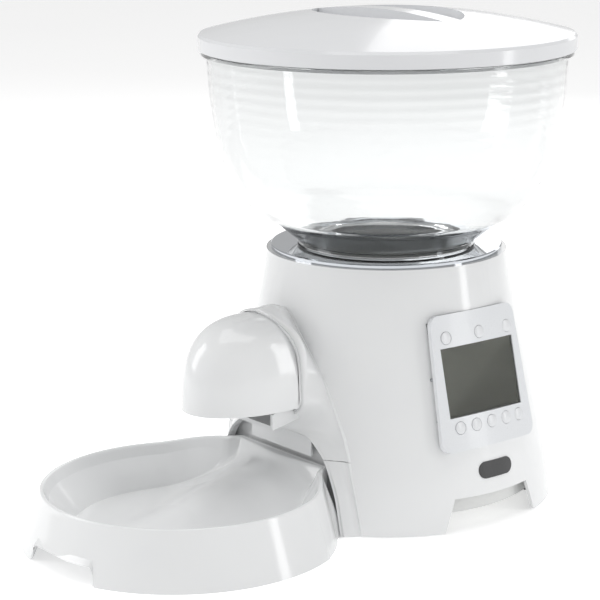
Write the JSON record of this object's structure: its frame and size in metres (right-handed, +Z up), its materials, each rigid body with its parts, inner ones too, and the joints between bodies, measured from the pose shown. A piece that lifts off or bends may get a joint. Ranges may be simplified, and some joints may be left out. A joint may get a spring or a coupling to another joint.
{
  "type": "automatic pet feeder",
  "caption": "Round timed dry-food feeder: clear lidded hopper over a white tower with a timer panel, a turning portion wheel, a chute and hood, and a lift-away bowl.",
  "frame": {"origin": "on the floor, under the middle of the whole object's box", "axes": "+Z up, -Y from the tower towards the bowl, +X out of the timer panel's side"},
  "size_m": [0.276, 0.4367, 0.3625],
  "materials": {
    "white_abs": "moulded glossy white ABS",
    "lid_abs": "moulded pale grey-white ABS",
    "clear_hopper": "clear moulded SAN",
    "chrome_deck": "mirror chrome plating",
    "panel_grey": "satin silver-grey ABS",
    "key_white": "moulded keys",
    "screen_clear": "clear acrylic window",
    "screen_cell": "grey-green liquid crystal cell",
    "board_green": "solder-masked fibreglass board",
    "inner_white": "moulded white ABS",
    "wheel_nylon": "natural nylon",
    "gear_acetal": "moulded acetal",
    "steel": "bright steel",
    "brass": "turned brass",
    "cell_jacket": "printed steel jacket, unmarked",
    "pad_rubber": "soft rubber",
    "seal_rubber": "soft thermoplastic seal",
    "badge_dark": "dark unmarked badge"
  },
  "bodies": {
    "base": {"body_shell": "white_abs", "deck_plate": "chrome_deck", "hopper_seat": "inner_white", "wheel_cup": "inner_white", "flow_guard": "inner_white", "shaft_bush": "brass", "motor_bracket": "inner_white", "gear_motor": "steel", "food_chute": "white_abs", "front_shell": "white_abs", "leg_left": "white_abs", "leg_right": "white_abs", "spout_hood": "white_abs", "base_plate": "inner_white", "battery_tray": "inner_white", "batteries": "cell_jacket", "battery_contacts": "steel", "foot_pads": "pad_rubber", "panel_plate": "panel_grey", "lcd_window": "screen_clear", "lcd_module": "screen_cell", "circuit_board": "board_green", "button_switches": "badge_dark", "badge": "badge_dark", "base_screws": "steel", "bracket_screws": "steel", "motor_screws": "steel", "cup_screws": "steel", "panel_screws": "steel"},
    "hopper": {"hopper_bowl": "clear_hopper"},
    "lid": {"lid_cap": "lid_abs", "lid_seal": "seal_rubber"},
    "bowl": {"feeding_bowl": "white_abs"},
    "door": {"battery_door": "inner_white"},
    "rotor": {"portion_wheel": "wheel_nylon", "wheel_shaft": "steel", "drive_gear": "gear_acetal"},
    "pinion": {"motor_pinion": "gear_acetal", "motor_shaft": "steel"},
    "key_top_left": {"button_top_left": "key_white"},
    "key_top_middle": {"button_top_middle": "key_white"},
    "key_top_right": {"button_top_right": "key_white"},
    "key_low_first": {"button_low_first": "key_white"},
    "key_low_second": {"button_low_second": "key_white"},
    "key_low_third": {"button_low_third": "key_white"},
    "key_low_fourth": {"button_low_fourth": "key_white"},
    "key_low_fifth": {"button_low_fifth": "key_white"}
  },
  "joints": [
    {"name": "hopper_lift", "type": "slide", "parent": "base", "child": "hopper", "axis": [0, 0, 1], "range_m": [0, 0.06]},
    {"name": "lid_lift", "type": "slide", "parent": "hopper", "child": "lid", "axis": [0, 0, 1], "range_m": [0, 0.05]},
    {"name": "bowl_slide", "type": "slide", "parent": "base", "child": "bowl", "axis": [0, -1, 0], "range_m": [0, 0.08]},
    {"name": "battery_door_slide", "type": "slide", "parent": "base", "child": "door", "axis": [0, 1, 0], "range_m": [0, 0.066]},
    {"name": "portion_wheel_turn", "type": "hinge", "parent": "base", "child": "rotor", "pos_m": [0, 0.0803, 0.1], "axis": [0, 0, 1], "continuous": true},
    {"name": "motor_pinion_turn", "type": "hinge", "parent": "base", "child": "pinion", "pos_m": [0, 0.1154, 0.078], "axis": [0, 0, 1], "continuous": true},
    {"name": "top_left_press", "type": "slide", "parent": "base", "child": "key_top_left", "axis": [-0.9736, 0, -0.2284], "range_m": [0, 0.001], "stiffness_N_per_m": 800, "springref_m": -0.0005},
    {"name": "top_middle_press", "type": "slide", "parent": "base", "child": "key_top_middle", "axis": [-0.9736, 0, -0.2284], "range_m": [0, 0.001], "stiffness_N_per_m": 800, "springref_m": -0.0005},
    {"name": "top_right_press", "type": "slide", "parent": "base", "child": "key_top_right", "axis": [-0.9736, 0, -0.2284], "range_m": [0, 0.001], "stiffness_N_per_m": 800, "springref_m": -0.0005},
    {"name": "low_first_press", "type": "slide", "parent": "base", "child": "key_low_first", "axis": [-0.9736, 0, -0.2284], "range_m": [0, 0.001], "stiffness_N_per_m": 800, "springref_m": -0.0005},
    {"name": "low_second_press", "type": "slide", "parent": "base", "child": "key_low_second", "axis": [-0.9736, 0, -0.2284], "range_m": [0, 0.001], "stiffness_N_per_m": 800, "springref_m": -0.0005},
    {"name": "low_third_press", "type": "slide", "parent": "base", "child": "key_low_third", "axis": [-0.9736, 0, -0.2284], "range_m": [0, 0.001], "stiffness_N_per_m": 800, "springref_m": -0.0005},
    {"name": "low_fourth_press", "type": "slide", "parent": "base", "child": "key_low_fourth", "axis": [-0.9736, 0, -0.2284], "range_m": [0, 0.001], "stiffness_N_per_m": 800, "springref_m": -0.0005},
    {"name": "low_fifth_press", "type": "slide", "parent": "base", "child": "key_low_fifth", "axis": [-0.9736, 0, -0.2284], "range_m": [0, 0.001], "stiffness_N_per_m": 800, "springref_m": -0.0005}
  ],
  "couplings": [
    {"joint": "motor_pinion_turn", "follows": "portion_wheel_turn", "ratio": -2.5}
  ]
}
